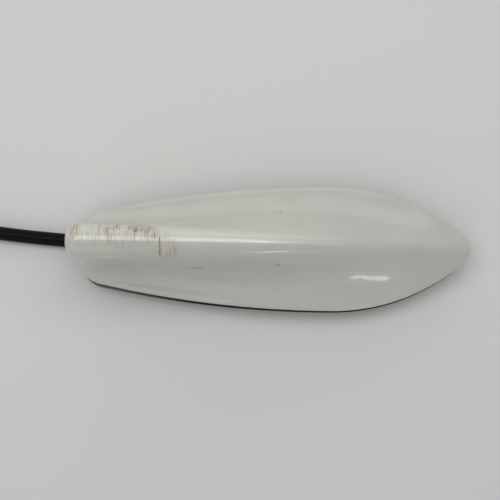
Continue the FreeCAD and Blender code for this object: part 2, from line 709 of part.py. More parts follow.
def trailing_profile(sketch, face):
    """Side view of what is cut away behind the fin: raked trailing face, its flare and the tail's skirt."""
    inset = num(f"{face}_inset")
    slope = math.radians(num("skirt_slope"))
    rake = math.radians(num("tail_rake"))
    flare = num("tail_flare") + inset
    tail = num("tail_x")
    back = tail - 2 * TRIM
    top = num("crest_level") + TRIM

    def skirt_z(x):
        return num("edge_level") - inset / math.cos(slope) + (x - tail) * math.tan(slope)

    def rake_x(z):
        return tail + num("tail_setback") + inset / math.cos(rake) + (z - num("crest_level")) * math.tan(rake)

    # the flare's centre is one radius above the skirt's line and one radius behind the raked line
    lift = skirt_z(0) + flare / math.cos(slope)
    push = rake_x(0) - flare / math.cos(rake)
    centre_z = (lift + push * math.tan(slope)) / (1 - math.tan(rake) * math.tan(slope))
    centre = (push + centre_z * math.tan(rake), centre_z)
    low = (centre[0] + flare * math.sin(slope), centre[1] - flare * math.cos(slope))
    high = (centre[0] + flare * math.cos(rake), centre[1] - flare * math.sin(rake))

    skirt = line(sketch, (back, skirt_z(back)), low)
    bend = arc(sketch, low, high, centre)
    raked = line(sketch, high, (rake_x(top), top))
    cap = line(sketch, (rake_x(top), top), (back, top))
    behind = line(sketch, (back, top), (back, skirt_z(back)))
    tie(sketch, "Tangent", skirt, 2, bend, 1)
    tie(sketch, "Tangent", bend, 2, raked, 1)
    tie(sketch, "Coincident", raked, 2, cap, 1)
    tie(sketch, "Coincident", cap, 2, behind, 1)
    tie(sketch, "Coincident", behind, 2, skirt, 1)
    tie(sketch, "Horizontal", cap)
    tie(sketch, "Vertical", behind)
    less = ref(f"{face}_inset")
    bind(sketch, "Angle", (skirt,), "Sizes.skirt_slope", slope)
    bind(sketch, "Angle", (raked,), "90 - Sizes.tail_rake", math.pi / 2 - rake)
    bind(sketch, "Radius", (bend,), f"Sizes.tail_flare + {less}", flare)
    bind(sketch, "DistanceX", (behind, 2, *ORIGIN), f"Sizes.tail_back + {2 * TRIM}", -back)
    bind(sketch, "DistanceY", (*ORIGIN, behind, 2),
         f"Derived.edge_level - {less} * Derived.skirt_stretch - {2 * TRIM} * Derived.skirt_fall",
         skirt_z(back))
    bind(sketch, "DistanceY", (*ORIGIN, cap, 2), f"Derived.crest_level + {TRIM}", top)
    bind(sketch, "DistanceX", (raked, 2, *ORIGIN),
         f"Sizes.tail_back - Sizes.tail_setback - {less} / cos(Sizes.tail_rake * 1 deg)"
         f" - {TRIM} * tan(Sizes.tail_rake * 1 deg)", -rake_x(top))


def tail_edges(feature):
    """Names of the edges where the trailing cut meets the lofted faces."""
    names = []
    for number, edge in enumerate(feature.Shape.Edges, start=1):
        faces = feature.Shape.ancestorsOfType(edge, Part.Face)
        lofted = [face for face in faces if face.Surface.TypeId == "Part::GeomBSplineSurface"]
        reach = edge.BoundBox
        if len(lofted) == 1 and num("station_0") + CLOSE < reach.XMax < num("station_1"):
            names.append(f"Edge{number}")
    return names


def rim_edges(feature):
    """Names of the edges along the top of the cover's upright rim."""
    names = []
    for number, edge in enumerate(feature.Shape.Edges, start=1):
        faces = feature.Shape.ancestorsOfType(edge, Part.Face)
        middle = edge.valueAt((edge.FirstParameter + edge.LastParameter) / 2)
        tilts = [abs(face.normalAt(*face.Surface.parameter(middle)).z) for face in faces]
        if min(tilts) < CLOSE < max(tilts) and edge.BoundBox.ZMin > num("rim_level") + CLOSE:
            names.append(f"Edge{number}")
    return names


def fin_body(face):
    """The fin and its skirt as one solid, every face moved inwards by that face's inset."""
    body = new_body(face)
    sections = [half_section(body, number, face) for number in range(len(STATIONS))]
    loft = body.newObject("PartDesign::AdditiveLoft", f"{face}_half")
    loft.Profile = sections[0]
    loft.Sections = sections[1:]
    doc.recompute()
    both = body.newObject("PartDesign::Mirrored", f"{face}_both")
    both.Originals = [loft]
    both.MirrorPlane = (sections[0], ["V_Axis"])
    body.Tip = both
    doc.recompute()

    trailing = sketch_on(body, "trailing", "XZ_Plane")
    trailing_profile(trailing, face)
    tail = pocket(body, trailing)
    rounded(body, tail, "tail_round", tail_edges(tail), f"{face}_tail_round")

    plan = sketch_on(body, "plan", "XY_Plane")
    leaf_outline(plan, f"{face}_grow")
    polygon(plan, [("trim_back", "trim_right"), ("trim_front", "trim_right"),
                   ("trim_front", "trim_left"), ("trim_back", "trim_left")])
    pocket(body, plan)
    return body


def make_cover():
    """The moulded cover: fin shell with a rounded rim, and two screw posts inside."""
    crown = fin_body("cover")
    under = sketch_on(crown, "under", "XY_Plane", "rim_level")
    polygon(under, [("trim_back", "trim_right"), ("trim_front", "trim_right"),
                    ("trim_front", "trim_left"), ("trim_back", "trim_left")])
    level = pocket(crown, under, "trim_depth")
    rounded(crown, level, "rim_round", rim_edges(level), "rim_round")
    core = fin_body("core")

    posts = joined("Part::MultiFuse", "posts", [
        cylinder("nose_post", "post_radius", "nose_post_height", "nose_post_x", "plate_top"),
        cylinder("tail_post", "post_radius", "post_height", "tail_post_x", "plate_top"),
        box("tail_web", "web_length", "web_thick", "web_height", "tail_x", "web_low"),
    ])
    pilots = joined("Part::MultiFuse", "pilots", [
        cylinder("nose_pilot", "pilot_radius", "pilot_depth", "nose_post_x", "plate_top"),
        cylinder("tail_pilot", "pilot_radius", "pilot_depth", "tail_post_x", "plate_top"),
    ])
    shell = paired("Part::Cut", "cover_shell", crown, core)
    inside = paired("Part::Common", "posts_inside", posts, crown)
    whole = joined("Part::MultiFuse", "cover_whole", [shell, inside])
    return paired("Part::Cut", "cover_drilled", whole, pilots)


def make_roof_gasket():
    """Rubber pad between plate and roof, with a rounded lip, a bead along the rim and one round the foot.

    It has slipped a little on the plate, so its lip shows along the right side only.
    """
    body = new_body("roof_gasket")
    plan = sketch_on(body, "plan", "XY_Plane", "foot_height")
    leaf_outline(plan, "lip_overhang")
    slab = pad(body, plan, "lip_height")
    rounded(body, slab, "lip_round", level_edges(slab, num("foot_height")), "lip_round")
    opening = sketch_on(body, "opening", "XY_Plane", "foot_height")
    rounded_box(opening, "opening_back", "opening_front", "opening_half", "opening_corner")
    pocket(body, opening, "lip_height", upwards=True)
    beads = sketch_on(body, "beads", "XY_Plane", "foot_height")
    for ring in ("rim_bead_outer", "rim_bead_inner"):
        leaf_outline(beads, ring)
    for ring in ("bead_inner", "bead_outer"):
        rounded_box(beads, f"{ring}_back", f"{ring}_front", f"{ring}_half", f"{ring}_corner")
    pad(body, beads, "bead_height", downwards=True)
    body.Placement.Rotation = FreeCAD.Rotation(FreeCAD.Vector(0, 0, 1), num("slip_angle"))
    body.setExpression("Placement.Rotation.Angle", "Sizes.slip_angle * 1 deg")
    body.setExpression("Placement.Base.x", "Sizes.slip_forward")
    body.setExpression("Placement.Base.y", "-Sizes.slip_aside")
    return body


def make_base_plate():
    """Die-cast plate inside the cover's rim, with the foot below it and bosses for the board on top."""
    body = new_body("base_plate")
    plan = sketch_on(body, "plan", "XY_Plane", "rim_level")
    leaf_outline(plan, "plate_grow")
    pad(body, plan, "plate_thick")
    foot = sketch_on(body, "foot", "XY_Plane")
    rounded_box(foot, "foot_left", "foot_front", "foot_half", "foot_corner")
    block = pad(body, foot, "rim_level")
    lead_in = body.newObject("PartDesign::Chamfer", "base_plate_lead_in")
    lead_in.Base = (block, level_edges(block, 0))
    lead_in.setExpression("Size", "Sizes.foot_chamfer")
    doc.recompute()
    bosses = sketch_on(body, "bosses", "XY_Plane", "plate_top")
    pilots = sketch_on(body, "boss_pilots", "XY_Plane", "board_bottom")
    for x in ("boss_left", "boss_front"):
        for y in ("boss_low", "boss_half"):
            circle(bosses, "boss_radius", x, y)
            circle(pilots, "board_pilot", x, y)
    pad(body, bosses, "board_lift")
    pocket(body, pilots, "board_shank_reach")

    insert = sketch_on(body, "insert_hole", "XY_Plane")
    circle(insert, "insert_hole")
    pocket(body, insert, "insert_height", upwards=True)
    channel = sketch_on(body, "channel", "XY_Plane")
    half, inner, outer = num("channel_half"), num("entry_x"), num("channel_end")
    low = line(channel, (outer, -half), (inner, -half))
    turn = arc(channel, (inner, -half), (inner, half), (inner, 0))
    high = line(channel, (inner, half), (outer, half))
    mouth = line(channel, (outer, half), (outer, -half))
    tie(channel, "Tangent", low, 2, turn, 1)
    tie(channel, "Tangent", turn, 2, high, 1)
    tie(channel, "Coincident", high, 2, mouth, 1)
    tie(channel, "Coincident", mouth, 2, low, 1)
    tie(channel, "Horizontal", low)
    tie(channel, "Vertical", mouth)
    tie(channel, "PointOnObject", turn, 3, Own.LEVEL_AXIS)
    follow(channel, "DistanceX", (*ORIGIN, turn, 3), "entry_x")
    follow(channel, "DistanceX", (*ORIGIN, mouth, 1), "channel_end")
    follow(channel, "Radius", (turn,), "channel_half")
    pocket(body, channel, "channel_roof", upwards=True)
    entry = sketch_on(body, "entry_hole", "XY_Plane", "rim_level")
    circle(entry, "entry_hole", "entry_x")
    pocket(body, entry, "plate_thick", upwards=True)
    holes = sketch_on(body, "screw_holes", "XY_Plane", "rim_level")
    sinks = sketch_on(body, "screw_sinks", "XY_Plane", "rim_level")
    for x in ("nose_post_x", "tail_post_x"):
        circle(holes, "screw_hole", x)
        circle(sinks, "screw_sink", x)
    pocket(body, holes, "plate_thick", upwards=True)
    pocket(body, sinks, "screw_sink_depth", upwards=True)
    return body


def make_thread_insert():
    """Steel insert pressed into the foot, with a blind bore for the roof bolt."""
    return turned("thread_insert", [
        ("bolt_bore_radius", "zero"), ("insert_radius", "zero"), ("insert_radius", "insert_height"),
        ("zero", "insert_height"), ("zero", "bolt_bore_depth"), ("bolt_bore_radius", "bolt_bore_depth")])


def make_inner_seal():
    """Rubber ring on the plate's edge, just inside the cover's wall."""
    body = new_body("inner_seal")
    plan = sketch_on(body, "plan", "XY_Plane", "plate_top")
    leaf_outline(plan, "seal_outer_grow")
    leaf_outline(plan, "seal_inner_grow")
    pad(body, plan, "seal_height")
    return body


def make_cable_grommet():
    """Rubber bush that carries the cable through the plate."""
    return turned("cable_grommet", [
        ("grommet_bore", "channel_roof"), ("neck_radius", "channel_roof"), ("neck_radius", "plate_top"),
        ("flange_radius", "plate_top"), ("flange_radius", "grommet_top"), ("grommet_bore", "grommet_top")],
        "entry_x")


def make_jacket_collar():
    """Crimp collar on the inner end of the cable's jacket."""
    return turned("jacket_collar", [
        ("zero", "collar_low"), ("collar_radius", "collar_low"), ("collar_radius", "collar_shoulder"),
        ("collar_neck", "collar_high"), ("zero", "collar_high")], "entry_x")


def make_inner_leads():
    """Two thin leads that arch from the collar to the main board."""
    body = new_body("inner_lead")
    route = sketch_on(body, "route", "XZ_Plane", "lead_plane")
    start, top, end = num("entry_x"), num("lead_shoulder"), num("lead_end")
    middle = (start + end) / 2
    rise = line(route, (start, num("collar_high")), (start, top))
    arch = arc(route, (end, top), (start, top), (middle, top))
    fall = line(route, (end, top), (end, num("board_top")))
    tie(route, "Tangent", rise, 2, arch, 2)
    tie(route, "Tangent", arch, 1, fall, 1)
    tie(route, "Vertical", rise)
    tie(route, "Vertical", fall)
    follow(route, "DistanceX", (*ORIGIN, rise, 1), "entry_x")
    follow(route, "DistanceY", (*ORIGIN, rise, 1), "collar_high")
    follow(route, "DistanceY", (*ORIGIN, arch, 3), "lead_shoulder")
    follow(route, "Radius", (arch,), "lead_arch")
    follow(route, "DistanceY", (*ORIGIN, fall, 2), "board_top")
    ring = sketch_on(body, "ring", "XY_Plane", "collar_high")
    circle(ring, "lead_radius", "entry_x", "lead_half")
    pipe = body.newObject("PartDesign::AdditivePipe", "inner_lead_pipe")
    pipe.Profile = ring
    pipe.Spine = (route, ["Edge1", "Edge2", "Edge3"])
    doc.recompute()
    twin = doc.addObject("Part::Mirroring", "inner_lead_twin")
    twin.Source = body
    twin.Normal = (0, 1, 0)
    return joined("Part::Compound", "both_leads", [body, twin])


def make_circuit_board():
    """Main board on the plate's bosses, open where the cable comes in."""
    body = new_body("circuit_board")
    plan = sketch_on(body, "plan", "XY_Plane", "board_bottom")
    rounded_box(plan, "board_left", "board_front", "board_half", "board_corner")
    circle(plan, "entry_opening", "entry_x")
    circle(plan, "feed_hole", "feed_x")
    for x in ("boss_left", "boss_front"):
        for y in ("boss_low", "boss_half"):
            circle(plan, "board_hole", x, y)
    pad(body, plan, "board_thick")
    return body


def screw(name, shank_radius, shank_length, head_radius, head_height, x, y, seat, head_up):
    """A screw of a shank and a round head, its head's underside on the level called seat."""
    shank = doc.addObject("Part::Cylinder", f"{name}_shank")
    head = doc.addObject("Part::Cylinder", f"{name}_head")
    for item, radius, length in ((shank, shank_radius, shank_length), (head, head_radius, head_height)):
        item.setExpression("Radius", ref(radius))
        item.setExpression("Height", ref(length))
        item.setExpression("Placement.Base.x", ref(x))
        item.setExpression("Placement.Base.y", ref(y))
    below = shank if head_up else head
    above = head if head_up else shank
    below.setExpression("Placement.Base.z", f"{ref(seat)} - {ref(shank_length if head_up else head_height)}")
    above.setExpression("Placement.Base.z", ref(seat))
    return joined("Part::MultiFuse", name, [shank, head])


def make_board_screws():
    """Four screws from above that hold the main board to its bosses."""
    screws = [screw(f"board_screw_{x}_{y}", "board_shank_radius", "board_shank", "board_head_radius",
                    "board_head_height", x, y, "board_top", True)
              for x in ("boss_left", "boss_front") for y in ("boss_low", "boss_half")]
    return joined("Part::Compound", "all_board_screws", screws)


def make_cover_screws():
    """Two screws from below that draw the cover's posts onto the plate."""
    screws = [screw(f"cover_screw_{x}", "cover_shank_radius", "cover_shank", "cover_head_radius",
                    "cover_head_height", x, "zero", "sink_level", False)
              for x in ("nose_post_x", "tail_post_x")]
    return joined("Part::Compound", "all_cover_screws", screws)


def make_patch_tape():
    """Foam tape that holds the ceramic patch on the board."""
    body = new_body("patch_tape")
    plan = sketch_on(body, "plan", "XY_Plane", "board_top")
    rounded_box(plan, "tape_left", "tape_right", "tape_half", "patch_corner")
    circle(plan, "feed_hole", "feed_x")
    pad(body, plan, "tape_height")
    return body


def make_gps_patch():
    """Square ceramic patch for satellite signals, bored for its feed pin."""
    body = new_body("gps_patch")
    plan = sketch_on(body, "plan", "XY_Plane", "tape_top")
    rounded_box(plan, "patch_left", "patch_right", "patch_half", "patch_corner")
    circle(plan, "feed_hole", "feed_x")
    pad(body, plan, "patch_height")
    return body


def make_patch_pin():
    """Feed pin: a flat head on the patch and a wire down through tape and board."""
    return turned("patch_pin", [
        ("zero", "pin_low"), ("feed_radius", "pin_low"), ("feed_radius", "patch_top"),
        ("feed_head_radius", "patch_top"), ("feed_head_radius", "pin_high"), ("zero", "pin_high")], "feed_x")


def make_shield_can():
    """Folded tin lid over the receiver, open towards the board."""
    body = new_body("shield_can")
    plan = sketch_on(body, "plan", "XY_Plane", "board_top")
    rounded_box(plan, "can_left", "can_right", "can_half", "can_corner")
    pad(body, plan, "can_height")
    inner = sketch_on(body, "inner", "XY_Plane", "board_top")
    rounded_box(inner, "can_inner_left", "can_inner_right", "can_inner_half", "can_inner_corner")
    pocket(body, inner, "can_inner_height", upwards=True)
    return body


def make_radio_board():
    """Upright board that stands on the main board inside the fin."""
    body = new_body("radio_board")
    side = sketch_on(body, "side", "XZ_Plane")
    polygon(side, [("upright_left", "board_top"), ("upright_right", "board_top"),
                   ("upright_right", "upright_top"), ("upright_left", "upright_top")])
    pad(body, side, "upright_thick", both_ways=True)
    return body


def make_top_plate():
    """Sheet folded over the upright board's top edge, the radio antenna's roof."""
    body = new_body("top_plate")
    section = sketch_on(body, "section", "YZ_Plane", "top_plate_left")
    polygon(section, [("top_low", "top_leg_end"), ("top_inner_low", "top_leg_end"),
                      ("top_inner_low", "upright_top"), ("top_inner_half", "upright_top"),
                      ("top_inner_half", "top_leg_end"), ("top_half", "top_leg_end"),
                      ("top_half", "top_level"), ("top_low", "top_level")])
    pad(body, section, "top_plate_length")
    return body


def make_board_bracket():
    """Folded angle that fixes the upright board to the main board."""
    body = new_body("board_bracket")
    section = sketch_on(body, "section", "YZ_Plane", "angle_left")
    polygon(section, [("angle_face", "board_top"), ("angle_toe", "board_top"), ("angle_toe", "angle_sole"),
                      ("angle_back", "angle_sole"), ("angle_back", "angle_top"), ("angle_face", "angle_top")])
    pad(body, section, "angle_length")
    return body


def route_path(points):
    """Straight runs joined by tangent arcs, each arc as large as its shorter run allows."""
    corners = [FreeCAD.Vector(*point) for point in points]
    edges, radii = [], []
    start = corners[0]
    for before, corner, after in zip(corners, corners[1:], corners[2:]):
        inward = (before - corner).normalize()
        outward = (after - corner).normalize()
        half_turn = (math.pi - inward.getAngle(outward)) / 2
        reach = 0.45 * min(before.distanceToPoint(corner), after.distanceToPoint(corner))
        radius = reach / math.tan(half_turn)
        first, last = corner + inward * reach, corner + outward * reach
        centre = corner + (inward + outward).normalize() * (radius / math.cos(half_turn))
        middle = centre + (corner - centre).normalize() * radius
        edges.append(Part.LineSegment(start, first).toShape())
        edges.append(Part.Arc(first, middle, last).toShape())
        radii.append(radius)
        start = last
    edges.append(Part.LineSegment(start, corners[-1]).toShape())
    return Part.Wire(edges), radii


def make_cable():
    """The cable's jacket along its route."""
    path, radii = route_path(ROUTE)
    direction = FreeCAD.Vector(*ROUTE[1]) - FreeCAD.Vector(*ROUTE[0])
    section = Part.Wire(Part.Circle(FreeCAD.Vector(*ROUTE[0]), direction, num("cable_radius")).toShape())
    tube = path.makePipeShell([section], True, False)
    expected = math.pi * num("cable_radius") ** 2 * path.Length
    print("cable radii", [round(radius, 1) for radius in radii])
    print("cable length", round(path.Length, 1), "volume share", round(tube.Volume / expected, 4))
    cable = doc.addObject("Part::Feature", "cable")
    cable.Shape = tube
    return cable


def connector_place(body):
    """Turn a connector piece, made along +X from the cable's end, to the cable's own direction."""
    last, end = (FreeCAD.Vector(*point) for point in ROUTE[-2:])
    heading = math.degrees(math.atan2(end.y - last.y, end.x - last.x))
    body.Placement = FreeCAD.Placement(end, FreeCAD.Rotation(FreeCAD.Vector(0, 0, 1), heading))
    return body


def turned_along(name, corners):
    """A connector piece turned about its own X axis; corners are pairs of place and radius names."""
    body = new_body(name)
    sketch = sketch_on(body, "profile", "XY_Plane")
    polygon(sketch, corners)
    feature = body.newObject("PartDesign::Revolution", f"{name}_turn")
    feature.Profile = sketch
    feature.ReferenceAxis = (sketch, ["H_Axis"])
    feature.Angle = 360
    doc.recompute()
    return connector_place(body)


def make_connector():
    """Generic plug: crimp ferrule, housing with a latch, outer contact, insulator and inner contact."""
    housing = new_body("connector_housing")
    end = sketch_on(housing, "end", "YZ_Plane")
    polygon(end, [("housing_right", "housing_low"), ("housing_half", "housing_low"),
                  ("housing_half", "housing_rise"), ("housing_right", "housing_rise")])
    block = pad(housing, end, "housing_length")
    long_edges = [f"Edge{number}" for number, edge in enumerate(block.Shape.Edges, start=1)
                  if edge.BoundBox.XLength > num("housing_length") / 2]
    rounded(housing, block, "round", long_edges, "housing_round")
    latch = sketch_on(housing, "latch", "XZ_Plane")
    polygon(latch, [("latch_start", "zero"), ("housing_length", "zero"),
                    ("housing_length", "housing_rise"), ("latch_start", "latch_top")])
    pad(housing, latch, "latch_width", both_ways=True)
    bore = sketch_on(housing, "bore", "YZ_Plane")
    circle(bore, "housing_bore")
    pocket(housing, bore)
    connector_place(housing)

    return {
        "connector_housing": housing,
        "connector_ferrule": turned_along("connector_ferrule", [
            ("ferrule_start", "ferrule_bore"), ("zero", "ferrule_bore"), ("zero", "insulator_bore"),
            ("ferrule_front", "insulator_bore"), ("ferrule_front", "ferrule_outer"),
            ("ferrule_start", "ferrule_outer")]),
        "connector_shell": turned_along("connector_shell", [
            ("ferrule_front", "shell_inner"), ("shell_end", "shell_inner"), ("shell_end", "ferrule_outer"),
            ("ferrule_front", "ferrule_outer")]),
        "connector_insulator": turned_along("connector_insulator", [
            ("ferrule_front", "insulator_bore"), ("insulator_end", "insulator_bore"),
            ("insulator_end", "insulator_outer"), ("ferrule_front", "insulator_outer")]),
        "connector_pin": turned_along("connector_pin", [
            ("zero", "zero"), ("contact_end", "zero"), ("contact_end", "contact_radius"),
            ("zero", "contact_radius")]),
    }


nodes = {
    "cover": make_cover(),
    "roof_gasket": make_roof_gasket(),
    "base_plate": make_base_plate(),
    "thread_insert": make_thread_insert(),
    "inner_seal": make_inner_seal(),
    "cable_grommet": make_cable_grommet(),
    "jacket_collar": make_jacket_collar(),
    "inner_leads": make_inner_leads(),
    "circuit_board": make_circuit_board(),
    "board_screws": make_board_screws(),
    "cover_screws": make_cover_screws(),
    "patch_tape": make_patch_tape(),
    "gps_patch": make_gps_patch(),
    "patch_pin": make_patch_pin(),
    "shield_can": make_shield_can(),
    "radio_board": make_radio_board(),
    "top_plate": make_top_plate(),
    "board_bracket": make_board_bracket(),
    "cable": make_cable(),
    **make_connector(),
}
doc.recompute()
for name, item in nodes.items():
    item.Label = name

failed = [item.Name for item in doc.Objects if "Invalid" in item.State or "Error" in item.State]
bad = [name for name, item in nodes.items() if item.Shape.isNull() or not item.Shape.isValid()]
if failed or bad:
    raise RuntimeError(f"features that failed: {failed}; shapes that are not valid: {bad}")

os.makedirs("parts", exist_ok=True)
for name, item in nodes.items():
    item.Shape.exportStep(f"parts/{name}.step")
    print(name, len(item.Shape.Solids), "solid", round(item.Shape.Volume, 1), "mm3")
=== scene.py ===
# %% [markdown]
# # A fin antenna for a car roof
# The shapes come from the CAD model, which is loaded first and never moved. This lesson dresses it: a
# glossy pearl white cover with worn patches, black rubber under it, a cast plate, and a short black cable
# that ends in a small connector. All lengths are in metres, and a length in millimetres says so in its
# name.

# %% Load the CAD model
import math

import bpy
from mathutils import Matrix, Vector


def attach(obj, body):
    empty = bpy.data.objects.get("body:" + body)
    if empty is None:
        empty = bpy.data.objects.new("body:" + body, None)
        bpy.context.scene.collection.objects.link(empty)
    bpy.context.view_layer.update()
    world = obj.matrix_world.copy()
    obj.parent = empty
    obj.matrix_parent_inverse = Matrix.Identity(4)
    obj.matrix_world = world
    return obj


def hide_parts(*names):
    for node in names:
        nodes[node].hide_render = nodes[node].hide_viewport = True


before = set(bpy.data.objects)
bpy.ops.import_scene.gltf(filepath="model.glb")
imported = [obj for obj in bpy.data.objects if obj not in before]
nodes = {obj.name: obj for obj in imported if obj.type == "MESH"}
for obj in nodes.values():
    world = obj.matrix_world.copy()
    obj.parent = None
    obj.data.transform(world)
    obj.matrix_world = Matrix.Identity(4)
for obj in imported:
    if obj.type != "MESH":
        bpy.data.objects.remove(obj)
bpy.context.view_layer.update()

scene = bpy.context.scene

# %% [markdown]
# ## The camera
# The antenna was photographed from almost straight above, from about 42 cm. A look-at matrix would do, but
# here the two small angles are written down one by one: how far the camera leans, and how far it is rolled.
# The focal length is given in pixels of the picture, which is 500 pixels wide.

# %% Camera above the antenna
CAMERA_HEIGHT = 0.420
CAMERA_LEAN = math.radians(3.2)
CAMERA_ROLL = math.radians(0.48)
SENSOR_MM = 36
PICTURE_PIXELS = 500
FOCAL_PIXELS = 917
AIM = Vector((0.0, -0.0002, 0.0))

lens = bpy.data.cameras.new("overhead_camera")
lens.sensor_width = SENSOR_MM
lens.lens = FOCAL_PIXELS / PICTURE_PIXELS * SENSOR_MM
camera = bpy.data.objects.new("overhead_camera", lens)
back = Vector((0, -math.sin(CAMERA_LEAN), math.cos(CAMERA_LEAN)))
camera.matrix_world = (
    Matrix.Translation(AIM + back * (CAMERA_HEIGHT / math.cos(CAMERA_LEAN)))
    @ Matrix.Rotation(CAMERA_LEAN, 4, "X")
    @ Matrix.Rotation(CAMERA_ROLL, 4, "Z")
)
scene.collection.objects.link(camera)
scene.camera = camera
print("camera at", [round(v, 3) for v in camera.matrix_world.translation],
      "lens", round(lens.lens, 1), "mm")

# %% [markdown]
# ## The cable
# A black jacket of 6.2 mm holds two thin leads. It comes down out of the plate, turns back through the
# channel in the foot, and lies on the floor in one slow curve to its connector. A tube swept along straight
# runs would look like bent wire, so the route's points become the control points of a smooth NURBS curve.
# The curve's bevel is 1 m deep and each point's radius scales it down to the cable's.

# %% Cable as a NURBS curve
CABLE_RADIUS = 0.0031
CABLE_ROUTE = (
    (-0.0200, 0.0000, 0.0128),
    (-0.0200, 0.0000, 0.0071),
    (-0.0240, 0.0000, 0.0031),
    (-0.0340, 0.0003, 0.0031),
    (-0.0520, 0.0012, 0.0031),
    (-0.0820, 0.0030, 0.0031),
    (-0.1139, 0.0060, 0.0031),
    (-0.1454, 0.0113, 0.0033),
    (-0.1745, 0.0185, 0.0045),
    (-0.2010, 0.0275, 0.0045),
)
CURVE_ORDER = 3
STEPS_ROUND = 10
STEPS_ALONG = 24

line = bpy.data.curves.new("cable_jacket", "CURVE")
line.dimensions = "3D"
line.bevel_depth = 1.0
line.bevel_resolution = STEPS_ROUND
line.resolution_u = STEPS_ALONG
line.use_fill_caps = True
spline = line.splines.new("NURBS")
spline.points.add(len(CABLE_ROUTE) - 1)
for point, place in zip(spline.points, CABLE_ROUTE):
    point.co, point.radius = (*place, 1), CABLE_RADIUS
spline.order_u = CURVE_ORDER
spline.use_endpoint_u = True
cable = bpy.data.objects.new("cable_jacket", line)
scene.collection.objects.link(cable)
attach(cable, "root")
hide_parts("cable")

# %% [markdown]
# ## Writing shaders as sums
# A material is a graph of nodes, and a graph is slow to read. This class holds one output of a node, and
# adding or multiplying two of them adds the Math node that does it, so a pattern reads as an expression.
# `node` makes any other node: first its settings, then what goes into its sockets.


# %% One class for shader maths
class Tone:
    """One output socket in a material's node tree."""

    def __init__(self, tree, socket):
        self.tree, self.socket = tree, socket

    def node(self, kind, settings=None, sockets=None, out=None):
        made = self.tree.nodes.new(kind)
        for name, value in (settings or {}).items():
            setattr(made, name, value)
        for name, value in (sockets or {}).items():
            target = (made.inputs[name] if isinstance(name, int)
                      else next(s for s in made.inputs if s.enabled and s.name == name))
            if isinstance(value, Tone):
                self.tree.links.new(value.socket, target)
            else:
                target.default_value = value
        shown = [s for s in made.outputs if s.enabled]
        return Tone(self.tree, next(s for s in shown if s.name == out) if out else shown[0])

    def math(self, operation, *values):
        return self.node("ShaderNodeMath", {"operation": operation}, dict(enumerate(values)))

    def __add__(self, other): return self.math("ADD", self, other)
    def __radd__(self, other): return self.math("ADD", other, self)
    def __sub__(self, other): return self.math("SUBTRACT", self, other)
    def __rsub__(self, other): return self.math("SUBTRACT", other, self)
    def __mul__(self, other): return self.math("MULTIPLY", self, other)
    def __rmul__(self, other): return self.math("MULTIPLY", other, self)

    def most(self, other):
        return self.math("MAXIMUM", self, other)

    def rise(self, start, end):
        """0 before start, 1 after end, smooth between; end may be the smaller."""
        low, high, first, last = (start, end, 0.0, 1.0) if start < end else (end, start, 1.0, 0.0)
        return self.node("ShaderNodeMapRange", {"interpolation_type": "SMOOTHSTEP"},
                         {"Value": self, "From Min": low, "From Max": high,
                          "To Min": first, "To Max": last})

    def between(self, dark, light):
        """A colour between two colours, by this value."""
        return self.node("ShaderNodeMix", {"data_type": "RGBA"}, {"Factor": self, "A": dark, "B": light})


print("Tone: a node's output that adds, scales and mixes")

# %% [markdown]
# ## Patterns in millimetres
# Every finish is measured on the object itself: the Object coordinates are the CAD frame, so a scratch sits
# where it is on the antenna whatever the view. These helpers make a Principled material, whose constant
# values are set straight on its sockets, and give the place in millimetres and noise of a given grain.

# %% Base material, place and grain
MM_PER_METRE = 1000.0


def rgb(red, green, blue):
    return (red, green, blue, 1.0)


def new_finish(name, **constants):
    material = bpy.data.materials.new(name)
    material.use_nodes = True
    shader = material.node_tree.nodes["Principled BSDF"]
    for socket, value in constants.items():
        shader.inputs[socket.replace("_", " ")].default_value = value
    start = Tone(material.node_tree, shader.outputs[0])
    metres = start.node("ShaderNodeTexCoord", out="Object")
    place = metres.node("ShaderNodeVectorMath", {"operation": "SCALE"},
                        {"Vector": metres, "Scale": MM_PER_METRE})
    return material, shader, place


def axes_of(place):
    return [place.node("ShaderNodeSeparateXYZ", None, {"Vector": place}, out) for out in ("X", "Y", "Z")]


def grain(place, size_mm, detail=2.0, roughness=0.5, stretch=None):
    if stretch:
        place = place.node("ShaderNodeVectorMath", {"operation": "MULTIPLY"}, {0: place, 1: stretch})
    return place.node("ShaderNodeTexNoise", None,
                      {"Vector": place, "Scale": 1.0 / size_mm, "Detail": detail, "Roughness": roughness},
                      "Fac")


print("finishes are measured in mm,", MM_PER_METRE, "to the metre")

# %% [markdown]
# Three more helpers link a pattern to the shader's sockets, turn a height into a shallow bump, and put a
# finished material on pieces of the CAD model. Noise keeps mostly to the middle of its range, so the span
# that most finishes stretch it from is named here.

# %% Sockets, bumps and pieces
NOISE_SPAN = (0.3, 0.7)


def feed(shader, **values):
    for socket, value in values.items():
        value.tree.links.new(value.socket, shader.inputs[socket.replace("_", " ")])


def dent(shader, height, depth_mm, strength=1.0):
    bump = height.node("ShaderNodeBump", None,
                       {"Strength": strength, "Distance": depth_mm / MM_PER_METRE, "Height": height},
                       "Normal")
    feed(shader, Normal=bump)


def wear(material, *names):
    for name in names:
        nodes[name].data.materials.clear()
        nodes[name].data.materials.append(material)
    print(material.name, "on", ", ".join(names))


print("noise is stretched from", NOISE_SPAN)
